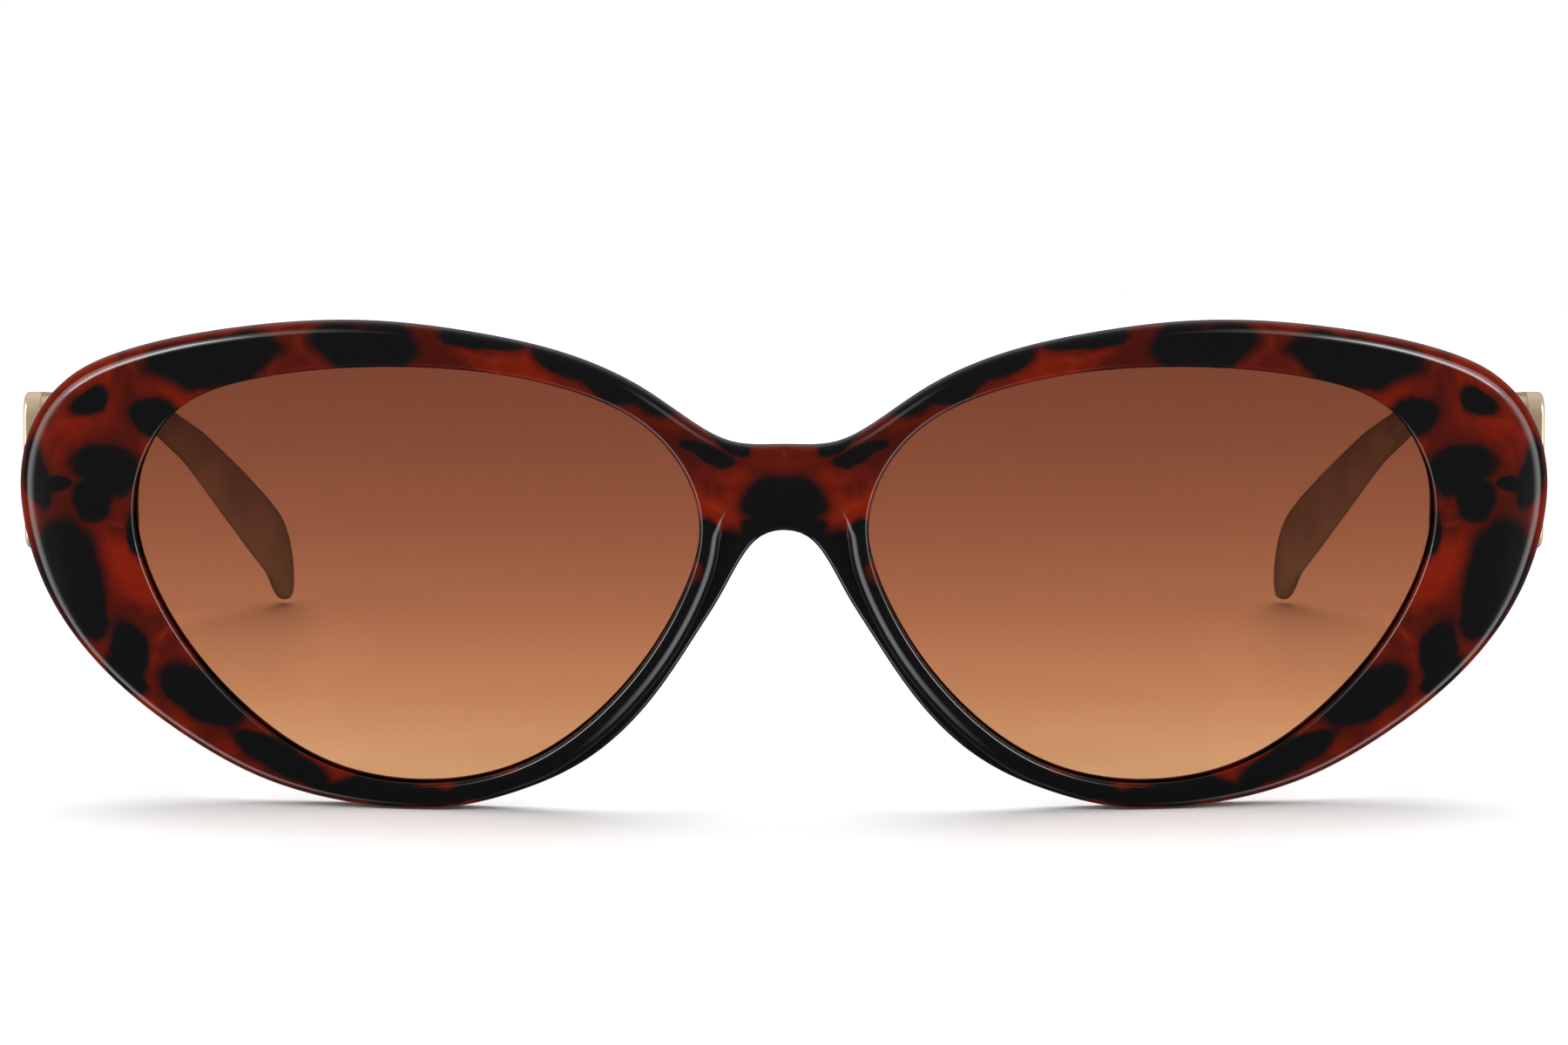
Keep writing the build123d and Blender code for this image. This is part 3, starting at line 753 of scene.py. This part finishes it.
def lens_tint(name):
    """Clear brown plastic, darkest at the top. Light passes two faces, each half the tint."""
    made = Shader(name)
    place = made.node("TexCoord").outputs["Object"]
    up = made.node("SeparateXYZ", {0: place}).outputs[2]
    low, high = lens_low[2] * MM, lens_high[2] * MM
    share = made.math("DIVIDE", made.math("SUBTRACT", up, low), high - low)
    speck = made.noise(place, 420.0, 2.0, 0.5)
    share = made.math("ADD", share, made.math("MULTIPLY", made.math("SUBTRACT", speck, 0.5), 0.012))
    graded = made.node("ValToRGB")
    made.tree.links.new(share, graded.inputs[0])
    elements = graded.color_ramp.elements
    while len(elements) < len(TINTS):
        elements.new(0.5)
    for element, (height, tint) in zip(elements, TINTS):
        element.position = height
        element.color = (*(channel ** 0.5 for channel in tint), 1.0)
    clear = made.node("BsdfTransparent", {"Color": graded.outputs[0]}).outputs[0]
    gloss = made.node("BsdfGlossy", {"Color": (1, 1, 1, 1), "Roughness": 0.02}).outputs[0]
    fresnel = made.node("Fresnel", {"IOR": 1.32}).outputs[0]
    facing = made.math("MULTIPLY", fresnel, 0.6, clamp=True)
    surface = made.node("MixShader", {0: facing, 1: clear, 2: gloss}).outputs[0]
    return made.finish(surface)


def plated_metal(name, colour, roughness, grain_scale, grain_strength, metallic=1.0):
    """Polished plating with faint brush lines and cloudy wear in its shine."""
    made = Shader(name)
    place = made.node("TexCoord").outputs["Object"]
    stretched = made.node("Mapping", {"Vector": place, "Scale": (1.0, 0.06, 1.0)}).outputs[0]
    lines = made.noise(stretched, grain_scale, 3.0, 0.6)
    clouds = made.noise(place, 160.0, 3.0, 0.55)
    tone = made.mix(
        made.ramp(clouds, 0.3, 0.7), tuple(channel * 0.88 for channel in colour), colour
    )
    shine = made.math("ADD", made.math("MULTIPLY", clouds, 0.10), roughness - 0.05)
    shine = made.math("ADD", made.math("MULTIPLY", lines, 0.05), shine)
    bump = made.node(
        "Bump", {"Height": lines, "Strength": grain_strength, "Distance": 0.0002}
    ).outputs[0]
    return made.finish(made.principled(tone, shine, bump, Metallic=metallic))


def smoke_plastic(name, colour):
    """Smoke-grey polished plastic with a faint cloud in it."""
    made = Shader(name)
    place = made.node("TexCoord").outputs["Object"]
    clouds = made.noise(place, 150.0, 3.0, 0.55)
    tone = made.mix(
        made.ramp(clouds, 0.3, 0.7), tuple(channel * 0.8 for channel in colour), colour
    )
    shine = made.math("ADD", made.math("MULTIPLY", clouds, 0.08), 0.10)
    bump = made.node("Bump", {"Height": clouds, "Strength": 0.02, "Distance": 0.0004}).outputs[0]
    return made.finish(
        made.principled(tone, shine, bump, Specular_IOR_Level=0.4, Coat_Weight=0.3,
                        Coat_Roughness=0.05)
    )


tortoise = tortoiseshell("tortoiseshell", PATCHES)
lens_material = lens_tint("graded_lens")
gold = plated_metal("gold_plating", (0.90, 0.70, 0.47), 0.22, 900.0, 0.05, 0.5)
gold_bar = plated_metal("gold_bar", (0.95, 0.74, 0.50), 0.16, 900.0, 0.05, 0.5)
steel = plated_metal("hinge_steel", (0.56, 0.55, 0.53), 0.26, 1400.0, 0.10)
tip = smoke_plastic("smoke_tip", (0.45, 0.48, 0.49))

NODE_MATERIALS = {
    "nose_pad": tortoise, "front_hinge": steel, "temple_hinge": steel, "hinge_screw": steel,
    "hinge_washers": steel, "hinge_rivets": steel, "temple_rivets": steel,
    "plaque_rivets": gold, "temple_arm": gold, "temple_plaque": gold, "trim_bar": gold_bar,
}


def give(piece, material):
    piece.data.materials.clear()
    piece.data.materials.append(material)


give(front_piece, tortoise)
for lens_piece in lens_pieces:
    give(lens_piece, lens_material)
for tip_piece in tip_pieces:
    give(tip_piece, tip)
for kind, material in NODE_MATERIALS.items():
    for side in SIDES:
        give(nodes[f"{kind}_{side}"], material)


# ---- floor, light and camera ----

FLOOR_RADIUS = 0.47


def build_floor():
    """A plain pale round floor under the object."""
    sides = 96
    corners = [
        (FLOOR_RADIUS * math.cos(2 * math.pi * k / sides),
         FLOOR_RADIUS * math.sin(2 * math.pi * k / sides), 0.0)
        for k in range(sides)
    ]
    mesh = bpy.data.meshes.new("floor")
    mesh.from_pydata(corners, [], [tuple(range(sides))])
    floor = bpy.data.objects.new("floor", mesh)
    bpy.context.scene.collection.objects.link(floor)
    made = Shader("floor")
    place = made.node("TexCoord").outputs["Object"]
    tone = made.mix(made.noise(place, 30.0, 2.0), (0.90, 0.90, 0.90), (0.93, 0.93, 0.93))
    give(floor, made.finish(made.principled(tone, 0.9, Specular_IOR_Level=0.0)))
    floor.visible_glossy = False


def area_light(name, place, aim, size, power):
    data = bpy.data.lights.new(name, "AREA")
    data.shape = "RECTANGLE"
    data.size, data.size_y = size
    data.energy = power
    lamp = bpy.data.objects.new(name, data)
    lamp.location = place
    lamp.rotation_euler = (Vector(aim) - Vector(place)).to_track_quat("-Z", "Y").to_euler()
    bpy.context.scene.collection.objects.link(lamp)
    return lamp


SKY_LIGHT = 0.45            # share of the white world that lights matt surfaces
PANEL_LIGHT = 4.4           # soft panels at both sides, seen only in reflections
BACK_MIRROR = 0.10          # how bright the white behind looks in reflections
DARK_ROOM = 0.03            # how bright the rest of the room looks in reflections
# Directions from the front (-1) to the back (1) between which the panels fade in and out.
PANEL_START = (-0.74, -0.54)
PANEL_END = (-0.10, -0.38)
PANEL_SIDE = (0.30, 0.80)   # from straight up or down (0) to level at the side (1)
BACK_START = (0.0, 0.7)


def build_world():
    """White all round, but dark from the front in reflections, as in a black-lined studio."""
    world = bpy.data.worlds.new("studio")
    bpy.context.scene.world = world
    world.use_nodes = True
    tree = world.node_tree
    tree.nodes.clear()

    def add(kind, **settings):
        made = tree.nodes.new("ShaderNode" + kind)
        for key, value in settings.items():
            setattr(made, key, value)
        return made

    out = add("OutputWorld")

    def white_light(strength):
        made = add("Background")
        made.inputs[0].default_value = (1, 1, 1, 1)
        made.inputs[1].default_value = strength
        return made

    white = white_light(1.0)
    sky = white_light(SKY_LIGHT)
    mirror = white_light(1.0)
    place = add("TexCoord")
    parts = add("SeparateXYZ")
    tree.links.new(place.outputs["Generated"], parts.inputs[0])

    def math_node(operation, first, second=0.0):
        made = add("Math", operation=operation)
        for socket, value in zip(made.inputs, (first, second)):
            if isinstance(value, bpy.types.NodeSocket):
                tree.links.new(value, socket)
            else:
                socket.default_value = value
        return made.outputs[0]

    def step(value, low, high):
        made = add("MapRange", interpolation_type="SMOOTHSTEP")
        tree.links.new(value, made.inputs["Value"])
        made.inputs["From Min"].default_value = low
        made.inputs["From Max"].default_value = high
        return made.outputs["Result"]

    sideways = math_node("ABSOLUTE", parts.outputs[0])
    square = math_node("MULTIPLY", parts.outputs[1], parts.outputs[1])
    off_axis = math_node("SQRT", math_node("SUBTRACT", 1.0, square))
    leaning = math_node("DIVIDE", sideways, math_node("MAXIMUM", off_axis, 0.001))
    panel = math_node(
        "MULTIPLY", step(parts.outputs[1], *PANEL_START), step(leaning, *PANEL_SIDE)
    )
    panel = math_node("MULTIPLY", panel, step(parts.outputs[1], *PANEL_END))
    behind = math_node("MULTIPLY", step(parts.outputs[1], *BACK_START), BACK_MIRROR)
    level = math_node("MULTIPLY", panel, PANEL_LIGHT)
    level = math_node("ADD", math_node("ADD", level, behind), DARK_ROOM)
    tree.links.new(level, mirror.inputs[1])
    path = add("LightPath")
    soft = add("MixShader")
    tree.links.new(path.outputs["Is Diffuse Ray"], soft.inputs[0])
    tree.links.new(white.outputs[0], soft.inputs[1])
    tree.links.new(sky.outputs[0], soft.inputs[2])
    mixed = add("MixShader")
    tree.links.new(path.outputs["Is Glossy Ray"], mixed.inputs[0])
    tree.links.new(soft.outputs[0], mixed.inputs[1])
    tree.links.new(mirror.outputs[0], mixed.inputs[2])
    tree.links.new(mixed.outputs[0], out.inputs[0])


CAMERA_TILT = 7.0
CAMERA_DISTANCE = 0.600
CAMERA_AIM_HEIGHT = 27.9 * MM
FOCAL_LENGTH = 147.36


def build_camera():
    data = bpy.data.cameras.new("camera")
    data.sensor_width = 36.0
    data.lens = FOCAL_LENGTH
    data.clip_start = 0.01
    camera = bpy.data.objects.new("camera", data)
    tilt = math.radians(CAMERA_TILT)
    aim = Vector((0.0, front_y * MM, CAMERA_AIM_HEIGHT))
    camera.location = aim + CAMERA_DISTANCE * Vector((0, -math.cos(tilt), math.sin(tilt)))
    camera.rotation_euler = (math.radians(90 - CAMERA_TILT), 0, 0)
    bpy.context.scene.collection.objects.link(camera)
    bpy.context.scene.camera = camera


build_floor()
build_world()
build_camera()
top_softbox = area_light("top_softbox", (0.0, 0.30, 0.90), (0, 0.05, 0.0), (1.1, 0.9), 10.0)
top_softbox.visible_glossy = False
for strip_name, strip_x in (("left_strip", -0.50), ("right_strip", 0.50)):
    area_light(strip_name, (strip_x, -0.42, 0.34), (0, -0.05, 0.03), (0.10, 0.4), 1.3)

scene = bpy.context.scene
scene.view_settings.view_transform = "Standard"
scene.cycles.use_denoising = True
scene.cycles.transparent_max_bounces = 16
